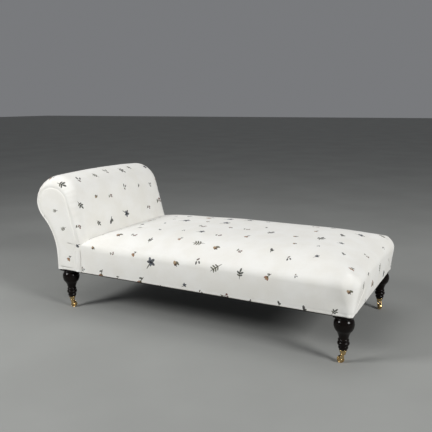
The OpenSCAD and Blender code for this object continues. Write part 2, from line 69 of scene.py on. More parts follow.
CREASE_SHARE = 0.6
TURN_SHARES = ((13.8, 1), (55, 1.2), (90, 1.2), (120, 0.95), (150, 0.45), (185, 0), (360, 0))
TURN_W_SHARE = 0.45
TURN_W_GAIN = 0.8
SEAM_SHARE = -0.25
SEAM_X = X_HEAD + 154 * MM
SEAM_Z = WALL_TOP - 16 * MM
ROLL_EDGE_R = 45 * MM
TURN_BACK_R = 6 * MM
HEAD_Y = HALF_W - 3 * MM
FACING_IN = ROLL_EDGE_R + 4 * MM
FACING_BACK_IN = 17 * MM
FACING_FOOT = 15 * MM
LEG_X = (X_HEAD + 52 * MM, X_FOOT - 44 * MM)
LEG_Y = HALF_W - 40 * MM
NECK_DZ = math.sqrt((ROLL_R + NECK_R) ** 2 - NECK_R ** 2)
NECK_Z = ROLL_Z - NECK_DZ
NECK_A = math.atan2(NECK_DZ, NECK_R)
ROLL_A0 = math.pi + NECK_A


def lean_x(z):
    """X of the head's inner face at height z."""
    return X_HEAD + (ROLL_R - (z - ROLL_Z) * math.sin(LEAN_A)) / math.cos(LEAN_A)


# Mesh helpers
DRESSED = []


def in_scene(name, data):
    """A new object with the given data, linked to the scene."""
    obj = bpy.data.objects.new(name, data)
    bpy.context.scene.collection.objects.link(obj)
    return obj


def add_mesh(name, points, faces, body="couch"):
    """A smooth mesh object in the shared frame that rides on a body."""
    mesh = bpy.data.meshes.new(name)
    mesh.from_pydata([tuple(p) for p in points], [], [tuple(f) for f in faces])
    mesh.update()
    mesh.shade_smooth()
    obj = in_scene(name, mesh)
    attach(obj, body)
    return obj


def stand_in(piece, node, slot):
    """Says which solid a piece stands for and which slot it takes its finish from."""
    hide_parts(node)
    DRESSED.append((piece, slot))


def grid_faces(n, m):
    """Quads of a grid with m rows of n points."""
    return [(j * n + i, j * n + i + 1, j * n + n + i + 1, j * n + n + i)
            for j in range(m - 1) for i in range(n - 1)]


def ring_faces(n, m):
    """Quads between m closed rings of n points, and a face over each end."""
    faces = [(r * n + k, r * n + (k + 1) % n, (r + 1) * n + (k + 1) % n, (r + 1) * n + k)
             for r in range(m - 1) for k in range(n)]
    return faces + [tuple(range(n - 1, -1, -1)), tuple(range((m - 1) * n, m * n))]


def closed_shell(faces, count, rim_turn=1):
    """Faces of a skin with count points, of its inner copy, and of the rim, which -1 turns round."""
    edges = {edge for face in faces for edge in zip(face, face[1:] + face[:1])}
    rim = [(a, a + count, b + count, b)[::rim_turn] for a, b in sorted(edges) if (b, a) not in edges]
    return faces + [tuple(count + v for v in reversed(face)) for face in faces] + rim


def set_uv(obj, corners):
    """Cloth coordinates in metres, one pair for each face corner."""
    layer = obj.data.uv_layers.new(name="cloth")
    layer.data.foreach_set("uv", np.asarray(corners, np.float32).ravel())


def vertex_normals(points, faces):
    """Unit normals of a mesh of quads and triangles."""
    normals = np.zeros_like(points)
    for count in (3, 4):
        chosen = np.array([f for f in faces if len(f) == count])
        if not len(chosen):
            continue
        a = points[chosen[:, 2]] - points[chosen[:, 0]]
        b = points[chosen[:, -1]] - points[chosen[:, 1]]
        flat = np.cross(a, b)
        for k in range(count):
            np.add.at(normals, chosen[:, k], flat)
    size = np.linalg.norm(normals, axis=1, keepdims=True)
    return normals / np.maximum(size, 1e-12)


def waves(points, scale, seed):
    """Smooth noise from -1 to 1 at each point; scale is the length of a wave in metres."""
    shift = Vector((seed * 7.31, seed * 3.17, seed * 5.73))
    return np.array([noise.noise(Vector(p) / scale + shift) for p in points])


def smooth_step(v, low, high):
    """0 below low, 1 above high, and a smooth rise between."""
    t = np.clip((np.asarray(v, float) - low) / (high - low), 0, 1)
    return t * t * (3 - 2 * t)


def hill(v, width):
    """1 where v is 0, fading smoothly to both sides within about two widths."""
    return np.exp(-(v / width) ** 2)


def spaced(*parts):
    """A rising list of values from (start, end, step) parts that follow each other."""
    values = []
    for start, end, step in parts:
        count = max(1, round((end - start) / step))
        values += [start + (end - start) * i / count for i in range(count)]
    return np.array(values + [parts[-1][1]])


# Seat upholstery: a box lattice whose top and walls follow the profile of the solid, with the cloth
# drawn into the seam at the head, a fold by each foot corner and a turned-under bottom edge
CORNER_ZONE = 90 * MM
FINE_ZONE = 42 * MM
FOLD_ZONE = 170 * MM
HEAD_ZONE_X = X_HEAD + 260 * MM
FINE_STEP = 3.5 * MM
WIDE_STEP = 10 * MM
TOP_X1 = X_FOOT - EDGE_END_D
TOP_Y = HALF_W - EDGE_END_D
HEAD_REACH = 700 * MM
SIDE_FADE = 220 * MM
SIDE_LEAST = HALF_W - 6.2 * MM
CLOTH_T = 5 * MM
LATTICE_X = spaced((SEAT_X0 + EDGE_END_D, HEAD_ZONE_X, FINE_STEP * 1.5),
                   (HEAD_ZONE_X, TOP_X1 - FINE_ZONE, WIDE_STEP),
                   (TOP_X1 - FINE_ZONE, TOP_X1, FINE_STEP))
LATTICE_Y = spaced((-TOP_Y, -TOP_Y + FOLD_ZONE, FINE_STEP),
                   (-TOP_Y + FOLD_ZONE, TOP_Y - FOLD_ZONE, WIDE_STEP),
                   (TOP_Y - FOLD_ZONE, TOP_Y, FINE_STEP))
WALL_LEVELS = spaced((BODY_Z, WALL_TOP, FINE_STEP))
EDGE_LEVELS = np.linspace(0, EDGE_SWEEP, 13)[1:]
# Fold in each foot corner: its line on the foot's face in Y and Z, its depth along it, and its ridge
FOLD_START = np.array((259 * MM, 307 * MM))
FOLD_LINE = np.array((HALF_W + 8 * MM, BODY_Z + 2 * MM)) - FOLD_START
FOLD_RUNS = (-26 * MM, 12 * MM, 58 * MM, 110 * MM, 172 * MM)
FOLD_DEPTHS = (0, 5 * MM, 4.6 * MM, 2.2 * MM, 1.2 * MM)
FOLD_W = 3.2 * MM
RIDGE_AT = -9 * MM
RIDGE_W = 6 * MM
# Painted shade: place and width of a dark band painted along the fold line
FOLD_SHADE_AT = -1 * MM
FOLD_SHADE_W = 2.6 * MM
# Relief of the seat, with its valley by the head on top and on the sides
SHOULDER = 14 * MM
HEAD_DIP = 6 * MM
VALLEY_D, VALLEY_W = 5 * MM, 34 * MM
SIDE_VALLEY_D, SIDE_VALLEY_W = 0.3 * MM, 10 * MM


def seat_profile():
    """Rows of the seat's side from the bottom edge up: inset, height, plan corner radius, cloth length."""
    rows = []
    for z in WALL_LEVELS:
        share = (z - BODY_Z) / WALL_H
        bulge = math.sin(min(1, share / 0.9) * math.pi / 2)
        rows.append((-SIDE_BULGE * bulge, z, CORNER_R + (CORNER_TOP_R - CORNER_R) * share, z - WALL_TOP))
    for a in EDGE_LEVELS:
        rows.append((EDGE_R - SIDE_BULGE - EDGE_R * math.cos(a), WALL_TOP + EDGE_R * math.sin(a),
                     CORNER_TOP_R, EDGE_R * a))
    return rows


def around_corner(lattice_gap, inset, radius, run_in):
    """Distances (along, across) from the inset corner for a lattice point that far from the corner."""
    arc = radius * math.pi / 4
    straight = CORNER_ZONE + run_in - inset - radius
    path = lattice_gap / CORNER_ZONE * (arc + straight)
    if path < arc:
        a = math.pi / 4 + path / radius
        return inset + radius - radius * math.cos(a), inset + radius - radius * math.sin(a)
    return inset + radius + path - arc, inset


def seat_wall_point(x, y, row):
    """Point of the wall under the lattice's edge point (x, y)."""
    inset, z, radius, _ = row
    gap_x, gap_y = TOP_X1 - x, TOP_Y - abs(y)
    fade = float(smooth_step(x, SEAM_X, SEAM_X + SIDE_FADE))
    side_inset = inset if inset > 0 else inset * (0.1 + 0.9 * fade)
    if gap_x > CORNER_ZONE and gap_y < 1e-9:
        return x, math.copysign(HALF_W - side_inset, y), z
    if gap_y < 1e-9:
        along, across = around_corner(gap_x, inset, radius, EDGE_END_D)
        return X_FOOT - along, math.copysign(HALF_W - across, y), z
    if gap_y > CORNER_ZONE:
        return X_FOOT - inset, y, z
    along, across = around_corner(gap_y, inset, radius, EDGE_END_D)
    return X_FOOT - across, math.copysign(HALF_W - along, y), z


def crown(x, y, base):
    """Rise of the seat's top over its rolled edge, from the distances to the edges moved in by base."""
    rises = []
    for distance, reach in ((X_FOOT - base - x, TOP_Y), (HALF_W - base - abs(y), TOP_Y),
                            (x - SEAT_X0 - base, HEAD_REACH)):
        rises.append(1 - (1 - min(1, max(0, distance) / reach)) ** 4)
    if min(rises) <= 1e-6:
        return 0
    return CROWN_H * (sum(r ** -3 for r in rises) - 2) ** (-1 / 3)


def seat_points(rows):
    """Points of the seat's smooth form, keyed by lattice place."""
    last = len(rows) - 1
    ni, nj = len(LATTICE_X) - 1, len(LATTICE_Y) - 1
    points = {}
    for k, row in enumerate(rows):
        for i, x in enumerate(LATTICE_X):
            for j in (0, nj):
                points[i, j, k] = seat_wall_point(x, LATTICE_Y[j], row)
        for j in range(1, nj):
            points[ni, j, k] = seat_wall_point(TOP_X1, LATTICE_Y[j], row)
    shift = {key: (p[0] - LATTICE_X[key[0]], p[1] - LATTICE_Y[key[1]])
             for key, p in points.items() if key[2] == last}
    corner = {j: shift[ni, j, last] for j in (0, nj)}
    for key, (x, y, z) in points.items():
        share = max(0, rows[key[2]][3]) / (EDGE_R * EDGE_SWEEP)
        if share:
            points[key] = (x, y, z + share ** 2 * crown(x, y, rows[key[2]][0]))
    for i in range(ni):
        for j in range(1, nj):
            x, y = LATTICE_X[i], LATTICE_Y[j]
            wx = max(0, 1 - (TOP_X1 - x) / CORNER_ZONE) ** 2
            near = max(0, 1 - (y + TOP_Y) / CORNER_ZONE) ** 2
            far = max(0, 1 - (TOP_Y - y) / CORNER_ZONE) ** 2
            dx, dy = (shift[i, 0, last][c] * near + shift[i, nj, last][c] * far
                      + shift[ni, j, last][c] * wx - corner[0][c] * wx * near
                      - corner[nj][c] * wx * far for c in (0, 1))
            points[i, j, last] = (x + dx, y + dy, EDGE_END_Z + crown(x + dx, y + dy, EDGE_END_D))
    return points


def lattice_faces(ni, nj, last):
    """Faces of the lattice as keys of their corners, each after the print's way up on that side."""
    faces = [((0, 0), [(i, j, last), (i + 1, j, last), (i + 1, j + 1, last), (i, j + 1, last)])
             for i in range(ni) for j in range(nj)]
    for k in range(last):
        for i in range(ni):
            faces.append(((0, 1), [(i, 0, k), (i + 1, 0, k), (i + 1, 0, k + 1), (i, 0, k + 1)]))
            faces.append(((0, -1), [(i + 1, nj, k), (i, nj, k), (i, nj, k + 1), (i + 1, nj, k + 1)]))
        for j in range(nj):
            faces.append(((-1, 0), [(ni, j, k), (ni, j + 1, k), (ni, j + 1, k + 1), (ni, j, k + 1)]))
    return faces


def turn_width(share):
    """How far in from the end the cloth of the head starts to turn over."""
    return ROLL_EDGE_R * (TURN_W_SHARE + TURN_W_GAIN * np.maximum(0, share))


def head_front_x(y, z):
    """X of the head's front, with its turned-over edge, at a place across and a height."""
    share = np.interp(z, [BODY_Z, SEAM_Z, CREASE_Z, ROLL_Z], [SEAM_SHARE, SEAM_SHARE, CREASE_SHARE, 1])
    front = np.interp(z, [SEAM_Z, CREASE_Z, ROLL_Z], [SEAM_X, lean_x(CREASE_Z), lean_x(ROLL_Z)])
    width = turn_width(share)
    over = np.clip((np.abs(y) - HEAD_Y + width) / width, 0, 1)
    return front - share * ROLL_EDGE_R * (1 - np.sqrt(1 - over ** 2))


def fold_depth(points):
    """How deep the corner's fold is at each point, and the point's distance above the fold's line."""
    x, y, z = points.T
    dy, dz = np.abs(y) - FOLD_START[0], z - FOLD_START[1]
    line_y, line_z = FOLD_LINE / np.hypot(*FOLD_LINE)
    depth = np.interp(dy * line_y + dz * line_z, FOLD_RUNS, FOLD_DEPTHS)
    depth *= smooth_step(x, X_FOOT - 12 * MM, X_FOOT - 2 * MM)
    depth *= 1 - smooth_step(z, WALL_TOP - 20 * MM, WALL_TOP)
    return depth, dz * line_y - dy * line_z


def seat_relief(points):
    """How far each point of the seat's cloth stands proud of the smooth form."""
    x, y, z = points.T
    from_side, from_foot = HALF_W - np.abs(y), X_FOOT - x
    relief = 1.1 * MM * waves(points, 0.19, 1) + 0.5 * MM * waves(points, 0.07, 2)
    # Lower crown towards the head
    on_top = smooth_step(z, EDGE_END_Z - 4 * MM, EDGE_END_Z + 20 * MM)
    relief -= HEAD_DIP * smooth_step(-x, -0.08, 0.22) * on_top
    # Fuller stuffing in the shoulders of the two foot corners
    full = hill(from_foot, 85 * MM) * hill(from_side, 170 * MM)
    relief += SHOULDER * full * smooth_step(z, WALL_TOP - 75 * MM, WALL_TOP + 42 * MM)
    # Valley where the seat meets the head, shallow at the upright seam on the sides
    wall = 1 - smooth_step(z, WALL_TOP - 20 * MM, WALL_TOP + 30 * MM)
    flank = wall * (1 - smooth_step(from_side, 10 * MM, 34 * MM))
    ahead = x - head_front_x(y, z)
    depth = VALLEY_D + (SIDE_VALLEY_D - VALLEY_D) * flank
    width = VALLEY_W + (SIDE_VALLEY_W - VALLEY_W) * flank
    relief -= depth * np.clip(1 - ahead / width, 0, 1) ** 2
    relief -= np.clip(-0.8 * ahead, 0, 14 * MM)
    # Turned-under bottom edge, deeper by the foot corners, with small puckers
    corner_gap = np.hypot(from_foot, from_side)
    hem = hill(z - BODY_Z - 13 * MM, 3.2 * MM)
    relief -= hem * (0.5 + 1.1 * np.exp(-corner_gap / (100 * MM))) * MM
    run = np.where(np.abs(from_side) < np.abs(from_foot), x, y)
    pucker = np.sin(run / (11 * MM) + 4 * waves(points, 0.06, 3))
    low = wall * (1 - smooth_step(z, BODY_Z + 4 * MM, BODY_Z + 40 * MM))
    relief += pucker * low * MM * (0.12 + 1.1 * hill(corner_gap, 90 * MM))
    # Fold in each foot corner, which runs from the foot's face down to the corner
    depth, above = fold_depth(points)
    return relief - depth * hill(above, FOLD_W) + 0.5 * depth * hill(above - RIDGE_AT, RIDGE_W)


def build_seat():
    """Closed mesh of the seat's cloth and wadding."""
    rows = seat_profile()
    form = seat_points(rows)
    keys = list(form)
    count = len(keys)
    place = {key: n for n, key in enumerate(keys)}
    sides = lattice_faces(len(LATTICE_X) - 1, len(LATTICE_Y) - 1, len(rows) - 1)
    faces = [tuple(place[key] for key in corners) for _, corners in sides]
    skin = np.array([form[key] for key in keys])
    normals = vertex_normals(skin, faces)
    depth, above = fold_depth(skin)
    # Painted shade: a dark band along each corner's fold line, kept as a point attribute for the cloth
    painted_fold_shade = depth / max(FOLD_DEPTHS) * hill(above - FOLD_SHADE_AT, FOLD_SHADE_W)
    skin = skin + normals * seat_relief(skin)[:, None]
    # By the upright seam the sides don't sink below the flat sides of the head
    x, y, z = skin.T
    out = np.abs(y)
    low = (z < WALL_TOP + 2 * MM) & (out > HALF_W - 40 * MM) & (x < SEAM_X + 50 * MM)
    skin[:, 1] = np.where(low, np.sign(y) * np.maximum(out, SIDE_LEAST), y)
    uv = []
    for (way_x, way_y), corners in sides:
        for i, j, k in corners:
            down = rows[k][3] - EDGE_SWEEP * EDGE_R
            uv.append((LATTICE_X[i] + way_x * down, LATTICE_Y[j] + way_y * down))
    uv += [uv[4 * f + c] for f in range(len(faces)) for c in (3, 2, 1, 0)]
    shell = closed_shell(faces, count)
    for face in shell[2 * len(faces):]:
        uv += [(LATTICE_X[keys[v % count][0]], LATTICE_Y[keys[v % count][1]]) for v in face]
    seat = add_mesh("seat_upholstery", np.vstack([skin, skin - normals * CLOTH_T]), shell)
    set_uv(seat, uv)
    seat.data.attributes.new("painted_fold_shade", "FLOAT", "POINT").data.foreach_set("value", np.tile(painted_fold_shade, 2))
    return seat


seat = build_seat()
stand_in(seat, "seat_cover", "printed_cloth")


# Head upholstery: the scroll's outline swept across, turned over at both ends onto flat sides
def head_outline():
    """Rows up the outer back, over the roll and down the inner face: x, z, normal, front share, length."""
    hem_z = BODY_Z + 20 * MM
    rows = [(X_HEAD, z, -1, 0, 0) for z in spaced((BODY_Z, hem_z, 4 * MM), (hem_z, NECK_Z, 9 * MM))]
    for a in np.linspace(0, NECK_A, 30)[1:]:
        rows.append((X_HEAD - NECK_R + NECK_R * math.cos(a), NECK_Z + NECK_R * math.sin(a),
                     -math.cos(a), -math.sin(a), 0))
    neck_end = len(rows) - 1
    for a in np.linspace(ROLL_A0, LEAN_A, 64)[1:]:
        share = np.interp(math.degrees(a), *zip(*TURN_SHARES))
        nx, nz = math.cos(a), math.sin(a)
        rows.append((X_HEAD + ROLL_R * nx, ROLL_Z + ROLL_R * nz, nx, nz, share))
    lean_start = len(rows) - 1
    top = rows[-1][1]
    for z in np.linspace(top, CREASE_Z, 34)[1:]:
        share = CREASE_SHARE + (1 - CREASE_SHARE) * (z - CREASE_Z) / (top - CREASE_Z)
        rows.append((lean_x(z), z, math.cos(LEAN_A), math.sin(LEAN_A), share))
    for s in np.linspace(0, 1, 9)[1:]:
        x = lean_x(CREASE_Z) + (SEAM_X - lean_x(CREASE_Z)) * s
        z = CREASE_Z + (SEAM_Z - CREASE_Z) * s
        rows.append((x, z, 1, 0, CREASE_SHARE + (SEAM_SHARE - CREASE_SHARE) * s))
    for z in spaced((-SEAM_Z, -hem_z, 8 * MM), (-hem_z, -BODY_Z, 4 * MM))[1:]:
        rows.append((SEAM_X, -z, 1, 0, SEAM_SHARE))
    rows = np.array(rows)
    steps = np.hypot(*np.diff(rows[:, :2], axis=0).T)
    return np.column_stack([rows, np.concatenate([[0], np.cumsum(steps)])]), neck_end, lean_start


OUTLINE, NECK_END, LEAN_START = head_outline()
# Insets of the strip of cloth that goes on under the facings
STRIP = (26 * MM, 17 * MM, 9 * MM, 4 * MM)
STRIP_BACK_GAIN = 1.3
STRIP_SINK = 0.02
CLOTH_PULL = 0.8
TURN_STEPS = 12


def side_swell(z):
    """How far the head's flat sides stand out low down, to meet the seat's sides."""
    return 2.4 * MM * (1 - smooth_step(z, SEAM_Z - 30 * MM, CREASE_Z + 70 * MM))


def head_rows():
    """Rows across the head: side, turn in radians or None, strip inset, place across in the middle."""
    half = [(-1, 0, strip, 0) for strip in STRIP]
    half += [(-1, math.pi / 2 * i / TURN_STEPS, 0, 0) for i in range(TURN_STEPS + 1)]
    flat = HEAD_Y - turn_width(max(share for _, share in TURN_SHARES))
    middle = [(0, None, 0, y) for y in spaced((-flat, flat, 12 * MM))[1:-1]]
    return half + middle + [(1, turn, strip, 0) for _, turn, strip, _ in reversed(half)]


def head_point(row, place):
    """Point of the head's smooth form on an outline row at a place across, with its cloth coordinate."""
    x, z, nx, nz, share, _ = row
    side, turn, strip, y = place
    inset, cloth = 0, y
    crown_share = 1
    if turn is not None:
        y = side * (HEAD_Y - turn_width(share) * (1 - math.cos(turn)))
        front = ROLL_EDGE_R * (1 - math.sin(turn)) + strip
        back = TURN_BACK_R * (1 - math.sin(turn)) + strip * STRIP_BACK_GAIN
        inset = share * front + (1 - share) * back
        cloth = y + side * CLOTH_PULL * inset
        y += side * (side_swell(z) * math.cos(turn) - STRIP_SINK * strip)
        crown_share = math.sin(turn)
    crown_share *= 1 - (y / HEAD_Y) ** 2
    inset -= max(0, share) * ROLL_CROWN * crown_share * min(1, max(0, (z - CREASE_Z) / ROLL_R))
    return x - nx * inset, y, z - nz * inset, cloth


def head_relief(points, lengths):
    """How far each point of the head's cloth stands proud of the smooth form."""
    x, y, z = points.T
    out = np.abs(y)
    relief = 0.9 * MM * waves(points, 0.17, 4) + 0.35 * MM * waves(points, 0.06, 5)
    # Little gathers where the cloth is worked round the ends of the roll
    gathers = smooth_step(out, HEAD_Y - 62 * MM, HEAD_Y - 16 * MM)
    gathers *= 1 - smooth_step(out, HEAD_Y - 6 * MM, HEAD_Y)
    gathers *= smooth_step(z, ROLL_Z - 150 * MM, ROLL_Z - 60 * MM)
    relief += 0.7 * MM * gathers * np.sin(lengths / (5.2 * MM) + 4 * waves(points, 0.08, 6))
    # Seam along the neck, pulled in
    flat = 1 - smooth_step(out, HEAD_Y - 26 * MM, HEAD_Y - 12 * MM)
    relief -= 2.4 * MM * flat * hill(lengths - OUTLINE[NECK_END][5], 5 * MM)
    # Tension down into the crease
    crease = np.exp(-np.maximum(0, z - CREASE_Z) / (36 * MM)) * (x > X_HEAD + 60 * MM)
    relief += 0.8 * MM * crease * np.sin(y / (19 * MM) + 2 * waves(points, 0.11, 7))
    return relief - 0.5 * MM * hill(z - BODY_Z - 14 * MM, 2.6 * MM)


def build_head_piece(name, first, last):
    """Closed mesh of one cloth of the head, between two rows of the outline."""
    rows = OUTLINE[first:last + 1]
    across = head_rows()
    n, m = len(rows), len(across)
    spots = np.array([head_point(row, place) for place in across for row in rows])
    skin = spots[:, :3]
    lengths = np.tile(rows[:, 5], m)
    faces = grid_faces(n, m)
    normals = vertex_normals(skin, faces)
    lifts = [1 if turn is None else math.sqrt(math.sin(turn)) for _, turn, _, _ in across]
    lift = CLOTH_T * np.repeat(lifts, n) + head_relief(skin, lengths)
    skin = skin + normals * lift[:, None]
    uv = np.column_stack([spots[:, 3], lengths])
    shell = closed_shell(faces, n * m, rim_turn=-1)
    piece = add_mesh(name, np.vstack([skin, skin - normals * CLOTH_T]), shell)
    set_uv(piece, [uv[v % (n * m)] for face in shell for v in face])
    return piece


head = build_head_piece("head_upholstery", NECK_END, len(OUTLINE) - 1)
stand_in(head, "head_cover", "printed_cloth")
stand_in(build_head_piece("outside_back", 0, NECK_END), "outer_back_cover", "printed_cloth")


# Side cloths over the flat ends of the head, and slightly domed facings sewn over them
DOME = ((0, -0.4), (0.8, 0.8), (2.4, 1.9), (5, 2.6), (10, 3.1), (24, 3.6), (90, 4.2))
FLAT = ((0, -0.6), (90, -0.6))
FACING_AT = ((FACING_IN, FACING_BACK_IN, True), BODY_Z + FACING_FOOT, DOME)
SIDE_AT = ((ROLL_EDGE_R + 18 * MM, TURN_BACK_R + 24 * MM, False), BODY_Z + 0.5 * MM, FLAT)
PANEL_T = 1.5 * MM
FRONT_SINK = 0.92
RUNGS = 112
ACROSS = 25


def outline_at(front, back, steady):
    """The scroll's outline in X and Z, moved in; a steady front keeps its distance down to the foot."""
    x, z, nx, nz, share, _ = OUTLINE.T
    if steady:
        share = np.where(np.arange(len(x)) >= LEAN_START, 1, share)
    inset = share * front + (1 - share) * back
    return np.column_stack([x - nx * inset, z - nz * inset])


def rungs_up(path, foot):
    """Ends of the rungs along a rising path, spread evenly from the foot's height up."""
    path = np.vstack([[np.interp(foot, path[:, 1], path[:, 0]), foot], path[path[:, 1] > foot]])
    run = np.concatenate([[0], np.cumsum(np.hypot(*np.diff(path, axis=0).T))])
    places = np.linspace(0, run[-1], RUNGS)
    return np.column_stack([np.interp(places, run, path[:, c]) for c in (0, 1)])


def edge_gap(flat, ring):
    """Distance of each flat point from a closed outline."""
    start = ring[:-1]
    run = ring[1:] - start
    away = flat[:, None, :] - start
    share = np.clip((away * run).sum(2) / np.maximum((run ** 2).sum(1), 1e-12), 0, 1)
    return np.linalg.norm(away - share[..., None] * run, axis=2).min(1)


def build_panel(name, side, insets, foot, dome):
    """Closed mesh of a panel on the head's flat side, on rungs between its back and front edges."""
    path = outline_at(*insets)
    apex = int(np.argmax(path[:, 1]))
    back = rungs_up(path[:apex + 1], foot)
    front = rungs_up(path[apex:][::-1], foot)
    shares = 0.5 - 0.5 * np.cos(np.linspace(0, math.pi, ACROSS))
    flat = np.array([b + (f - b) * s for b, f in zip(back[:-1], front[:-1]) for s in shares] + [back[-1]])
    gap = edge_gap(flat, np.vstack([back, front[::-1][1:], back[:1]]))
    rise = np.interp(gap / MM, *zip(*dome)) * MM
    x, z = flat.T
    if dome is DOME:
        # Low down the facing's front edge fades into the side
        fronts = np.append(np.tile(shares, RUNGS - 1), 0.5)
        low = 1 - smooth_step(z, SEAM_Z + 20 * MM, CREASE_Z + 90 * MM)
        rise *= 1 - FRONT_SINK * smooth_step(fronts, 0.2, 0.85) * low
        wobble = np.array([noise.noise(Vector((u, side, v)) / (60 * MM)) for u, v in flat]) * 0.5 * MM
        rise += wobble * np.clip(gap / (20 * MM), 0, 1)
    base = HEAD_Y + side_swell(z)
    outer = np.column_stack([x, side * (base + rise), z])
    inner = np.column_stack([x, side * (base - PANEL_T), z])
    count = len(flat)
    top = (RUNGS - 2) * ACROSS
    faces = grid_faces(ACROSS, RUNGS - 1)
    faces += [(top + c, top + c + 1, count - 1) for c in range(ACROSS - 1)]
    shell = closed_shell(faces, count)
    if side > 0:
        shell = [tuple(reversed(face)) for face in shell]
    panel = add_mesh(name, np.vstack([outer, inner]), shell)
    set_uv(panel, [flat[v % count] for face in shell for v in face])
    return panel


for name, node, place in (("scroll_facing", "facing", FACING_AT), ("head_side", "side_panel", SIDE_AT)):
    for side, end in ((-1, "front"), (1, "back")):
        stand_in(build_panel(f"{name}_{end}", side, *place), f"{node}_{end}", "printed_cloth")


# Lathe work
def smooth_profile(knots, steps):
    """Catmull-Rom curve through (radius, height) knots; a repeated knot keeps a sharp line."""
    knots = [np.array(k, float) for k in knots]
    curve = [knots[0]]
    for i in range(len(knots) - 1):
        p1, p2 = knots[i], knots[i + 1]
        if np.allclose(p1, p2):
            continue
        p0 = knots[i - 1] if i else p1
        p3 = knots[i + 2] if i + 2 < len(knots) else p2
        for s in np.linspace(0, 1, steps + 1)[1:]:
            curve.append(0.5 * (2 * p1 + (p2 - p0) * s + (2 * p0 - 5 * p1 + 4 * p2 - p3) * s ** 2
                                + (3 * p1 - p0 - 3 * p2 + p3) * s ** 3))
    return curve


def turned(profile, place, segments, axis=None):
    """Points and faces of a turned solid with (radius, height) points, along Z or along a given axis."""
    turn = Vector((0, 0, 1)).rotation_difference(Vector(axis)).to_matrix() if axis else Matrix.Identity(3)
    points, faces, rings = [], [], []
    for radius, height in profile:
        count = segments if radius > 1e-7 else 1
        rings.append(list(range(len(points), len(points) + count)))
        angles = [2 * math.pi * k / segments for k in range(count)]
        points += [(radius * math.cos(a), radius * math.sin(a), height) for a in angles]
    for low, high in zip(rings, rings[1:]):
        for k in range(segments):
            ends = ((low, k), (low, k + 1), (high, k + 1), (high, k))
            faces.append(tuple(dict.fromkeys(ring[v % len(ring)] for ring, v in ends)))
    return [turn @ Vector(p) + Vector(place) for p in points], faces


def lathe(name, profile, place, body, segments, axis=None):
    """A turned piece that rides on a body."""
    return add_mesh(name, *turned(profile, place, segments, axis), body)


def joined(name, solids, body="couch"):
    """One piece from the points and faces of several closed solids."""
    points, faces = [], []
    for more, corners in solids:
        faces += [tuple(len(points) + v for v in face) for face in corners]
        points += more
    return add_mesh(name, points, faces, body)


def scaled(rows):
    """Rows of millimetres in metres."""
    return [tuple(v * MM for v in row) for row in rows]


# Turned legs: (radius share, height share) with doubled knots at the fillets
LEG_Z0 = 60 * MM
LEG_TOP = 210 * MM
LEG_R = 44.5 * MM
LEG_KNOTS = [
    (0.385, 0), (0.4, 0.03), (0.4, 0.03), (0.445, 0.036), (0.475, 0.056), (0.485, 0.075),
    (0.475, 0.095), (0.44, 0.118), (0.44, 0.118), (0.44, 0.135), (0.44, 0.135), (0.5, 0.142),
    (0.565, 0.165), (0.59, 0.2), (0.565, 0.232), (0.49, 0.256), (0.49, 0.256), (0.49, 0.268),
    (0.49, 0.268), (0.525, 0.28), (0.537, 0.3), (0.52, 0.322), (0.475, 0.338), (0.475, 0.338),
    (0.482, 0.37), (0.52, 0.42), (0.575, 0.47), (0.66, 0.525), (0.765, 0.57), (0.865, 0.61),
    (0.945, 0.665), (0.99, 0.72), (1, 0.765), (0.99, 0.82), (0.945, 0.872), (0.87, 0.915), (0.8, 0.94),
    (0.8, 0.94), (0.8, 0.957), (0.8, 0.957), (0.845, 0.962), (0.865, 0.972), (0.865, 0.99), (0.85, 1)
]
CORNERS = {"head_front": (LEG_X[0], -LEG_Y, 12), "head_back": (LEG_X[0], LEG_Y, 150),
           "foot_front": (LEG_X[1], -LEG_Y, 200), "foot_back": (LEG_X[1], LEG_Y, -60)}
TIP_Z = LEG_Z0 - 13 * MM
LEG_PROFILE = [(0, TIP_Z), (12 * MM, TIP_Z), (15.8 * MM, LEG_Z0 - 0.5 * MM)]
LEG_PROFILE += smooth_profile([(r * LEG_R, LEG_Z0 + h * (LEG_TOP - LEG_Z0)) for r, h in LEG_KNOTS], 4)
LEG_PROFILE.append((0, LEG_TOP))
for corner, (x, y, _) in CORNERS.items():
    leg = lathe(f"turned_{corner}", LEG_PROFILE, (x, y, 0), "couch", 72)
    stand_in(leg, f"leg_{corner}", "ebonised_wood")


# Leg blocks, bead and lining under the body
def squared(rows, place):
    """Points and faces of a rounded square block with (half side, corner radius, height) rows."""
    steps = 6
    points = []
    for half, radius, z in rows:
        for quarter, (sx, sy) in enumerate(((1, 1), (-1, 1), (-1, -1), (1, -1))):
            for k in range(steps + 1):
                a = math.pi / 2 * (quarter + k / steps)
                points.append((place[0] + sx * (half - radius) + radius * math.cos(a),
                               place[1] + sy * (half - radius) + radius * math.sin(a), z))
    return points, ring_faces(4 * (steps + 1), len(rows))


BLOCK = 40 * MM
BLOCK_ROWS = scaled((
    (37.4, 2.4, 210), (38.6, 3, 210.5), (39.6, 3.4, 211.8), (40, 3.6, 213.6), (39.7, 3.4, 215.2),
    (38.9, 3, 216.4), (38.9, 3, 217.2), (39.6, 3, 217.6), (39.6, 3, 219.6), (39.4, 3, 220),
    (31, 3, 220.2), (31, 3, 224)
))
blocks = joined("moulded_blocks", [squared(BLOCK_ROWS, (x, y)) for x, y, _ in CORNERS.values()])
stand_in(blocks, "leg_blocks", "ebonised_wood")


def bead_bar(start, end, across):
    """Points and faces of a half-round bar between two points; across points to its outer side."""
    shape = [(7 * MM * math.cos(a), -6 * MM * math.sin(a) ** 0.8) for a in np.linspace(0, math.pi, 11)]
    points = [Vector(p) + Vector(across) * u + Vector((0, 0, v)) for p in (start, end) for u, v in shape]
    return points, ring_faces(len(shape), 2)


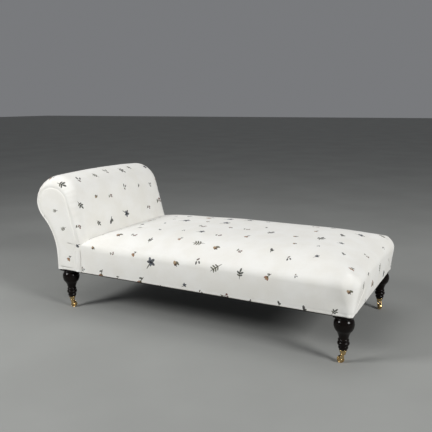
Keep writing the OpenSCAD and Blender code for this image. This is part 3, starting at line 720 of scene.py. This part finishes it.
BEAD_IN = 9 * MM
bars = []
for side in (-1, 1):
    y = side * (HALF_W - BEAD_IN)
    bars.append(bead_bar((LEG_X[0] + BLOCK, y, BODY_Z), (LEG_X[1] - BLOCK, y, BODY_Z), (0, side, 0)))
for side, x in ((-1, X_HEAD + BEAD_IN), (1, X_FOOT - BEAD_IN)):
    bars.append(bead_bar((x, -LEG_Y + BLOCK, BODY_Z), (x, LEG_Y - BLOCK, BODY_Z), (side, 0, 0)))
stand_in(joined("rounded_bead", bars), "base_beading", "ebonised_wood")
LINING_IN = 16.5 * MM
LINING_CUT = BLOCK + 0.4 * MM
LINING_STEP = 13 * MM


def lining_lines(start, legs, end):
    """Lines of the lining's grid, which meet the edges of the cut-outs round the legs."""
    low, high = legs[0] + LINING_CUT, legs[1] - LINING_CUT
    return spaced((start, low, LINING_STEP), (low, high, LINING_STEP), (high, end, LINING_STEP))


def build_lining():
    """Sheet of lining under the frame, cut out round the leg blocks, with a slight sag."""
    x0, x1, y1 = X_HEAD + LINING_IN, X_FOOT - LINING_IN, HALF_W - LINING_IN
    xs, ys = lining_lines(x0, LEG_X, x1), lining_lines(-y1, (-LEG_Y, LEG_Y), y1)
    used = {}
    faces = []
    for i in range(len(xs) - 1):
        for j in range(len(ys) - 1):
            mx, my = (xs[i] + xs[i + 1]) / 2, (ys[j] + ys[j + 1]) / 2
            if abs(my) > LEG_Y - LINING_CUT and not LEG_X[0] + LINING_CUT < mx < LEG_X[1] - LINING_CUT:
                continue
            corners = ((i, j), (i, j + 1), (i + 1, j + 1), (i + 1, j))
            faces.append(tuple(used.setdefault(key, len(used)) for key in corners))
    flat = np.array([(xs[i], ys[j], 0) for i, j in used])
    x, y, _ = flat.T
    gap = np.minimum(np.minimum(x - x0, x1 - x), y1 - np.abs(y))
    sag = 3.5 * MM * (1 - np.exp(-gap / (90 * MM))) * (1 + 0.5 * waves(flat, 0.3, 8))
    ripple = 0.5 * MM * np.sin((x + y) / (14 * MM)) * np.exp(-gap / (30 * MM))
    low = BODY_Z - 1.6 * MM - sag + ripple * (gap > 1e-6)
    sheets = [np.column_stack([x, y, height]) for height in (low, low + 1.1 * MM)]
    return add_mesh("tacked_lining", np.vstack(sheets), closed_shell(faces, len(flat)))


stand_in(build_lining(), "dust_cover", "black_lining")


# Castors: cup and pin on the leg, fork and axle that swivel, wheel that rolls
def mirrored(half):
    """A profile with two like sides, from its lower half."""
    return half + [(r, -h) for r, h in reversed(half)]


CUP_PROFILE = scaled((
    (0, 36.6), (4.6, 36.6), (5.6, 36.9), (6, 37.3), (5.8, 37.7), (4, 37.9), (4, 43), (11, 43),
    (12.2, 43.3), (12.9, 44), (13.1, 45), (13, 46), (13.6, 48), (14.9, 52), (16.2, 56), (16.6, 57.2),
    (17.3, 57.5), (17.7, 58.1), (17.8, 58.8), (17.6, 59.5), (17.1, 59.9), (16.1, 60), (15.8, 59.2),
    (12, 47.2), (0, 47.2)
))
CROWN_PROFILE = scaled((
    (4.05, 38.4), (10.4, 38.4), (11.2, 38.7), (11.5, 39.4), (11.5, 41.2), (11.1, 42), (10.2, 42.4),
    (4.05, 42.4), (4.05, 38.4)
))
AXLE_PROFILE = mirrored(scaled((
    (0, -12.5), (1.6, -12.4), (2.9, -12.05), (3.7, -11.6), (4, -11.1), (2.5, -11.1)
)))
WHEEL_PROFILE = mirrored(scaled((
    (2.56, -7.5), (5.2, -7.5), (6, -7.2), (6.5, -6.3), (7.2, -4.6), (8.4, -4.1), (11.2, -4.1),
    (12.4, -4.6), (13, -6.2), (13.5, -7.2), (14.2, -7.5), (15, -7.2), (15.6, -6.4), (15.9, -4.6),
    (16, -2.2)
)))
WHEEL_PROFILE.append(WHEEL_PROFILE[0])
TRAIL = 9 * MM
WHEEL_R = 16 * MM
# Edge of a horn above its axle, and its layers as a share of that edge and a distance from the middle
HORN_R = 6 * MM
HORN_EDGE = scaled((
    (14.8, 20), (12.2, 27), (8.4, 34), (6.6, 38), (6, 42.2), (-6, 42.2), (-5.6, 38), (-3.4, 32),
    (0, 25), (2.4, 20)
))
HORN_LAYERS = ((0.9, 8.1), (1, 8.6), (1, 10.4), (0.96, 10.9), (0.88, 11.1))


def horn(side):
    """Points and faces of one horn of a fork, with the wheel trailing along +X."""
    arc = np.linspace(-math.pi, 0, 15)
    ring = [(TRAIL + HORN_R * math.cos(a), WHEEL_R + HORN_R * math.sin(a)) for a in arc]
    ring = np.array(ring + HORN_EDGE)
    middle = ring.mean(axis=0)
    points = [(u, side * y * MM, v)
              for share, y in HORN_LAYERS for u, v in middle + (ring - middle) * share]
    faces = ring_faces(len(ring), len(HORN_LAYERS))
    return points, [tuple(reversed(face)) for face in faces] if side > 0 else faces


def build_castor(corner, x, y, degrees):
    """The four pieces of one castor, keyed by the first word of the solid that they stand for."""
    a = math.radians(degrees)
    turn = Matrix.Rotation(a, 3, "Z")
    place = (x, y, 0)
    swivel = f"swivel_{corner}"
    middle = (x + TRAIL * math.cos(a), y + TRAIL * math.sin(a), WHEEL_R)
    sideways = (-math.sin(a), math.cos(a), 0)
    solids = [turned(CROWN_PROFILE, place, 48)]
    for points, faces in (horn(1), horn(-1)):
        solids.append(([turn @ Vector(p) + Vector(place) for p in points], faces))
    cup = lathe(f"castor_cup_{corner}", CUP_PROFILE, place, "couch", 48)
    fork = joined(f"castor_fork_{corner}", solids, swivel)
    axle = lathe(f"castor_axle_{corner}", AXLE_PROFILE, middle, swivel, 28, sideways)
    wheel = lathe(f"castor_wheel_{corner}", WHEEL_PROFILE, middle, f"roller_{corner}", 56, sideways)
    return {"cup": cup, "fork": fork, "axle": axle, "wheel": wheel}


for corner, (x, y, degrees) in CORNERS.items():
    for node, piece in build_castor(corner, x, y, degrees).items():
        stand_in(piece, f"{node}_{corner}", "brass")


# Materials
def srgb(*levels):
    """Linear colour from sRGB levels 0 to 255."""
    shares = [v / 255 for v in levels]
    return tuple(v / 12.92 if v <= 0.04045 else ((v + 0.055) / 1.055) ** 2.4 for v in shares) + (1,)


class Nodes:
    """Short-hand for building one material's node tree."""

    def __init__(self, name):
        self.material = bpy.data.materials.new(name)
        self.material.use_nodes = True
        self.tree = self.material.node_tree
        self.shader = self.tree.nodes["Principled BSDF"]

    def feed(self, socket, value):
        """Links an input to another node's output, or gives it a value."""
        if isinstance(value, bpy.types.NodeSocket):
            self.tree.links.new(value, socket)
        else:
            socket.default_value = value

    def add(self, kind, *inputs, **settings):
        """A node with its settings, and its inputs in order."""
        node = self.tree.nodes.new(kind)
        for key, value in settings.items():
            setattr(node, key, value)
        for socket, value in zip(node.inputs, inputs):
            self.feed(socket, value)
        return node

    def place(self):
        """Place on the object, in metres."""
        return self.add("ShaderNodeTexCoord").outputs["Object"]

    def parts(self, vector):
        """The three parts of a vector."""
        return self.add("ShaderNodeSeparateXYZ", vector).outputs

    def point(self, *parts):
        """A vector from three parts."""
        return self.add("ShaderNodeCombineXYZ", *parts).outputs[0]

    def math(self, operation, *inputs):
        """Output of a Math node."""
        return self.add("ShaderNodeMath", *inputs, operation=operation).outputs[0]

    def vector(self, operation, *inputs):
        """Output of a Vector Math node."""
        node = self.add("ShaderNodeVectorMath", *inputs, operation=operation)
        return node.outputs["Value" if operation == "LENGTH" else "Vector"]

    def scale(self, vector, size):
        """A vector times a number."""
        node = self.add("ShaderNodeVectorMath", vector, operation="SCALE")
        self.feed(node.inputs["Scale"], size)
        return node.outputs["Vector"]

    def scatter(self, colour, reach):
        """A random colour as a shift in X and Y, with the reach from end to end."""
        return self.vector("MULTIPLY", self.vector("SUBTRACT", colour, (0.5, 0.5, 0.5)), (reach, reach, 0))

    def remap(self, value, low, high, out_low=0.0, out_high=1.0, smooth=True):
        """Output of a clamped Map Range node."""
        kind = "SMOOTHSTEP" if smooth else "LINEAR"
        return self.add("ShaderNodeMapRange", value, low, high, out_low, out_high,
                        interpolation_type=kind).outputs[0]

    def mix(self, factor, a, b):
        """Colour output of a Mix node."""
        node = self.add("ShaderNodeMix", factor, data_type="RGBA")
        self.feed(node.inputs[6], a)
        self.feed(node.inputs[7], b)
        return node.outputs[2]

    def noise(self, vector, scale, detail, colour=False):
        """Output of a Noise node."""
        node = self.add("ShaderNodeTexNoise", vector)
        self.feed(node.inputs["Scale"], scale)
        self.feed(node.inputs["Detail"], detail)
        return node.outputs[1 if colour else 0]

    def set(self, **sockets):
        """Links or values for the shader's sockets, with underscores for spaces."""
        for key, value in sockets.items():
            self.feed(self.shader.inputs[key.replace("_", " ")], value)

    def bump(self, *layers):
        """Stacks bump layers of (height, distance, strength) onto the shader's normal."""
        normal = None
        for layer in layers:
            node = self.add("ShaderNodeBump")
            for socket, value in zip(("Height", "Distance", "Strength"), layer):
                self.feed(node.inputs[socket], value)
            if normal is not None:
                self.feed(node.inputs["Normal"], normal)
            normal = node.outputs[0]
        self.set(Normal=normal)


# Colours of the print, all botanical
LEAF = srgb(40, 45, 34)
DEEP = srgb(28, 28, 28)
OLIVE = srgb(74, 74, 50)
STEM = srgb(66, 63, 48)
SLATE = srgb(42, 47, 56)
PALE_SLATE = srgb(72, 78, 88)
RUST = srgb(104, 56, 42)
TERRACOTTA = srgb(140, 92, 68)
TAN = srgb(156, 128, 92)
BROWN = srgb(72, 52, 40)
CLOTH = srgb(241, 240, 235)
CLOTH_SHADE = srgb(236, 234, 227)

# Motifs as ellipses in millimetres: centre, half sizes, turn in degrees, colour
MOTIFS = (
    ((0, -4, 0.7, 14, 6, STEM), (-5, 3, 6.5, 2.6, 150, LEAF), (5.5, 4, 6.5, 2.7, 35, LEAF),
     (-4, -5, 5, 2.1, 160, OLIVE), (0.5, 12, 2.6, 6.5, -6, LEAF), (5, -4, 4.6, 2, 30, DEEP)),
    ((3, -11, 0.6, 9, 16, STEM), (0, 6, 3, 6.5, 0, SLATE), (-5, 2, 3, 6.2, 68, PALE_SLATE),
     (5, 2, 3, 6.2, -68, SLATE), (-3, -3, 2.7, 5.2, 140, SLATE), (3, -3, 2.7, 5.2, -140, PALE_SLATE),
     (0, 0.5, 2, 2, 0, DEEP)),
    ((0, -3, 0.5, 10, -12, STEM), (-4, 5, 0.5, 5, 40, STEM), (3.5, 6, 3.1, 3, 0, RUST),
     (-6.5, 8, 2.9, 2.8, 0, RUST), (0, 11, 2.7, 2.7, 0, BROWN), (3.5, -6, 5.6, 2.3, 28, OLIVE)),
    ((0, 1, 4.2, 6.4, 12, TAN), (-0.9, 5.4, 4.9, 2.6, 12, BROWN), (-2, 9, 0.6, 3, 12, BROWN),
     (-8, 3, 6.4, 2.5, 118, OLIVE)),
    ((0, -8, 0.6, 9, -8, STEM), (-3.6, 4, 3, 6.4, 32, TERRACOTTA), (3.6, 4, 3, 6.4, -32, TERRACOTTA),
     (0, 5.5, 2.6, 6.6, 0, TAN), (0, -0.5, 2.4, 2, 0, OLIVE), (4, -9, 4.4, 1.8, 40, LEAF)),
    ((0, 0, 0.6, 17, 4, STEM), (-3.5, 8, 4.4, 1.1, 148, OLIVE), (3.5, 9, 4.4, 1.1, 32, OLIVE),
     (-4, 2, 5, 1.2, 150, OLIVE), (4, 3, 5, 1.2, 30, OLIVE), (-3.6, -4, 4.4, 1.1, 150, OLIVE),
     (3.8, -3.4, 4.4, 1.1, 30, STEM)),
    ((-5, 0, 4.6, 1.9, 24, DEEP), (5, 3, 4.2, 1.8, -18, BROWN), (1, -6, 3.8, 1.7, 60, DEEP)),
    ((0, 2, 3.6, 7.4, 8, DEEP), (-1.2, -9, 0.7, 5, 8, STEM), (4.4, -4, 4.6, 2.4, 42, LEAF)),
)
# Cell of the print in millimetres, and the spans of a motif's drawing that fill it
PRINT_CELL = 122.0
PRINT_SPANS = (PRINT_CELL, PRINT_CELL * 0.46)
PRINT_KEEP = 0.88
INK_SPREAD = 0.6
ROW_SHIFT = 0.38
DRAW = 0.37
NEXT_DRAW = (17.3, 5.9, 2.1)
# Threads of the cloth to a metre
WARP = 1100
WEFT = 1000


def add_print(nodes, cloth, ground):
    """The ground colour with the scattered motifs printed over it, one in most cells of a grid."""
    x, y, _ = nodes.parts(nodes.scale(cloth, 1000 / PRINT_CELL))
    row = nodes.math("FLOOR", y)
    x = nodes.math("ADD", x, nodes.math("MULTIPLY", row, ROW_SHIFT))
    cell = nodes.point(nodes.math("FLOOR", x), row, DRAW)
    local = nodes.point(nodes.math("SUBTRACT", nodes.math("FRACT", x), 0.5),
                        nodes.math("SUBTRACT", nodes.math("FRACT", y), 0.5), 0.0)
    pick = nodes.add("ShaderNodeTexWhiteNoise", cell, noise_dimensions="3D").outputs
    beyond = nodes.vector("ADD", cell, NEXT_DRAW)
    again = nodes.add("ShaderNodeTexWhiteNoise", beyond, noise_dimensions="3D").outputs
    local = nodes.vector("SUBTRACT", local, nodes.scatter(pick[1], 0.4))
    spun = nodes.add("ShaderNodeVectorRotate", local, rotation_type="Z_AXIS")
    nodes.feed(spun.inputs["Angle"], nodes.math("MULTIPLY", again[0], 2 * math.pi))
    kind, share, _ = nodes.parts(again[1])
    span = nodes.remap(share, 0.0, 1.0, *PRINT_SPANS, smooth=False)
    fray = nodes.scatter(nodes.noise(cloth, 420.0, 2.0, colour=True), 1.6)
    place = nodes.vector("ADD", nodes.scale(spun.outputs[0], span), fray)
    kind = nodes.math("MULTIPLY", kind, float(len(MOTIFS)))
    density = nodes.remap(nodes.noise(cloth, 160.0, 4.0), 0.25, 0.75, 0.82, 1.0)
    ink = nodes.math("MULTIPLY", nodes.math("LESS_THAN", pick[0], PRINT_KEEP), density)
    colour = ground
    for number, motif in enumerate(MOTIFS):
        chosen = nodes.math("MULTIPLY", nodes.math("COMPARE", kind, number + 0.5, 0.5), ink)
        for cx, cy, rx, ry, turn, paint in motif:
            size = (rx + INK_SPREAD, ry + INK_SPREAD, 1)
            spot = nodes.add("ShaderNodeMapping", place, (cx, cy, 0), (0, 0, math.radians(turn)), size,
                             vector_type="TEXTURE").outputs[0]
            inside = nodes.remap(nodes.vector("LENGTH", spot), 1.06, 0.86)
            colour = nodes.mix(nodes.math("MULTIPLY", inside, chosen), colour, paint)
    return colour


def cloth_material():
    """Off-white printed linen with a plain weave."""
    nodes = Nodes("printed_linen")
    cloth = nodes.add("ShaderNodeUVMap", uv_map="cloth").outputs[0]
    x, y, _ = nodes.parts(cloth)
    ground = nodes.mix(nodes.remap(nodes.noise(cloth, 9.0, 3.0), 0.3, 0.7), CLOTH_SHADE, CLOTH)
    slub = nodes.noise(nodes.vector("MULTIPLY", cloth, (60, 900, 1)), 1.0, 2.0)
    ground = nodes.mix(nodes.remap(slub, 0.56, 0.74, 0.0, 0.35), ground, srgb(226, 221, 209))
    colour = add_print(nodes, cloth, ground)
    # Painted shade: the cloth darkened towards dark brown along each foot corner's fold line
    painted_fold_shade = nodes.add("ShaderNodeAttribute", attribute_name="painted_fold_shade").outputs["Fac"]
    colour = nodes.mix(nodes.math("MULTIPLY", painted_fold_shade, 0.6), colour, srgb(58, 54, 48))
    warp = nodes.math("SINE", nodes.math("MULTIPLY", x, 2 * math.pi * WARP))
    weft = nodes.math("SINE", nodes.math("MULTIPLY", y, 2 * math.pi * WEFT))
    weave = nodes.math("MULTIPLY", warp, weft)
    nodes.set(Base_Color=colour, Roughness=0.86, Specular_IOR_Level=0.22)
    nodes.set(Sheen_Weight=0.18, Sheen_Roughness=0.45)
    nodes.bump((weave, 0.00012, 0.5), (slub, 0.0003, 0.35), (nodes.noise(cloth, 34.0, 3.0), 0.0012, 0.25))
    return nodes.material


def wood_material(name, dark, light, roughness, coat=0.0, grain=(60, 60, 5)):
    """Turned or sawn wood with its grain along Z or along the given stretch."""
    nodes = Nodes(name)
    place = nodes.place()
    fibre = nodes.noise(nodes.vector("MULTIPLY", place, grain), 6.0, 6.0)
    pores = nodes.noise(nodes.vector("MULTIPLY", place, tuple(g * 7 for g in grain)), 9.0, 3.0)
    colour = nodes.mix(nodes.remap(fibre, 0.3, 0.7), dark, light)
    nodes.set(Base_Color=colour, Roughness=nodes.remap(fibre, 0.3, 0.7, roughness * 0.85, roughness * 1.2))
    nodes.set(Coat_Weight=coat, Coat_Roughness=0.04, Specular_IOR_Level=0.12)
    nodes.bump((fibre, 0.0004, 0.12), (pores, 0.00015, 0.1))
    return nodes.material


def metal_material(name, colour, worn, roughness):
    """Polished metal with handling marks."""
    nodes = Nodes(name)
    place = nodes.place()
    cloud = nodes.noise(place, 90.0, 4.0)
    scratch = nodes.noise(nodes.vector("MULTIPLY", place, (1, 1, 14)), 260.0, 3.0)
    nodes.set(Base_Color=nodes.mix(nodes.remap(cloud, 0.35, 0.7), colour, worn), Metallic=1.0,
              Roughness=nodes.remap(cloud, 0.3, 0.75, roughness, roughness * 1.9))
    nodes.bump((scratch, 0.0001, 0.12))
    return nodes.material


def woven_material(name, dark, light, pitch):
    """Coarse plain weave, such as jute, hair or lining."""
    nodes = Nodes(name)
    place = nodes.place()
    x, y, z = nodes.parts(place)
    turns = 2 * math.pi / pitch
    a = nodes.math("SINE", nodes.math("MULTIPLY", nodes.math("ADD", x, z), turns))
    b = nodes.math("SINE", nodes.math("MULTIPLY", y, turns))
    weave = nodes.remap(nodes.math("MULTIPLY", a, b), -1.0, 1.0)
    cloud = nodes.noise(place, 40.0, 4.0)
    colour = nodes.mix(nodes.math("MULTIPLY", weave, nodes.remap(cloud, 0.3, 0.7, 0.5, 1.0)), dark, light)
    nodes.set(Base_Color=colour, Roughness=0.9)
    nodes.bump((weave, 0.0004, 0.5), (cloud, 0.001, 0.3))
    return nodes.material


FINISHES = {
    "printed_cloth": cloth_material(),
    "ebonised_wood": wood_material("ebonised_wood", srgb(8, 5, 4), srgb(18, 11, 8), 0.18, coat=0.13),
    "beech": wood_material("beech", srgb(178, 134, 88), srgb(206, 166, 118), 0.62, grain=(5, 60, 60)),
    "brass": metal_material("polished_brass", srgb(218, 192, 142), srgb(190, 160, 106), 0.16),
    "steel": metal_material("spring_steel", srgb(150, 150, 152), srgb(110, 104, 98), 0.32),
    "jute": woven_material("jute", srgb(140, 112, 70), srgb(190, 160, 112), 4 * MM),
    "hair_stuffing": woven_material("curled_hair", srgb(70, 56, 44), srgb(120, 100, 78), 6 * MM),
    "black_lining": woven_material("black_lining", srgb(24, 23, 22), srgb(46, 44, 42), 1.2 * MM),
}
DRESSED += [(frame["nodes"][part["node"]], part["material_slot"]) for part in frame["record"]["subparts"]]
for piece, slot in DRESSED:
    piece.data.materials.clear()
    piece.data.materials.append(FINISHES[slot])
    for face in piece.data.polygons:
        face.material_index = 0


# Stage: pale floor, soft light, and the camera at the photograph's angle
def floor_material():
    """Plain matt surface with faint clouding."""
    nodes = Nodes("studio_floor")
    cloud = nodes.remap(nodes.noise(nodes.place(), 1.3, 4.0), 0.3, 0.7)
    colour = nodes.mix(cloud, srgb(151, 152, 149), srgb(157, 158, 155))
    nodes.set(Base_Color=colour, Roughness=0.8, Specular_IOR_Level=0.2)
    return nodes.material


floor_mesh = bpy.data.meshes.new("floor")
floor_mesh.from_pydata([(-40, -40, 0), (40, -40, 0), (40, 40, 0), (-40, 40, 0)], [], [(0, 1, 2, 3)])
floor_mesh.materials.append(floor_material())
in_scene("floor", floor_mesh)


def area_light(name, place, target, size, power):
    """A soft rectangular light aimed at a point."""
    lamp = bpy.data.lights.new(name, "AREA")
    lamp.shape = "RECTANGLE"
    lamp.size, lamp.size_y = size
    lamp.energy = power
    obj = in_scene(name, lamp)
    obj.location = place
    obj.rotation_euler = (Vector(target) - Vector(place)).to_track_quat("-Z", "Y").to_euler()


area_light("overhead", (-0.2, 0.3, 3.6), (0, 0, 0.3), (2.4, 2.0), 20)
area_light("left", (-2.2, -2.8, 2.4), (-0.3, -0.1, 0.35), (1.1, 1.1), 92)
area_light("right", (5.5, -1.8, 3.0), (0, 0, 0.4), (1.7, 1.7), 245)
world = bpy.data.worlds.new("studio")
bpy.context.scene.world = world
world.use_nodes = True
background = world.node_tree.nodes["Background"]
background.inputs[0].default_value = srgb(200, 202, 206)
background.inputs[1].default_value = 0.33

# Camera: its place, and its yaw, pitch and roll as turns in degrees about its own axes
CAMERA_PLACE = (1.3888, -2.5955, 1.0914)
CAMERA_TURNS = ((27.82, "Z"), (90 - 11.317, "X"), (-0.316, "Z"))
lens = bpy.data.cameras.new("camera")
lens.lens = 46.84
lens.sensor_width = 36
camera = in_scene("camera", lens)
aim = Matrix.Translation(CAMERA_PLACE)
for degrees, axis in CAMERA_TURNS:
    aim = aim @ Matrix.Rotation(math.radians(degrees), 4, axis)
camera.matrix_world = aim
bpy.context.scene.camera = camera
bpy.context.scene.view_settings.view_transform = "Standard"
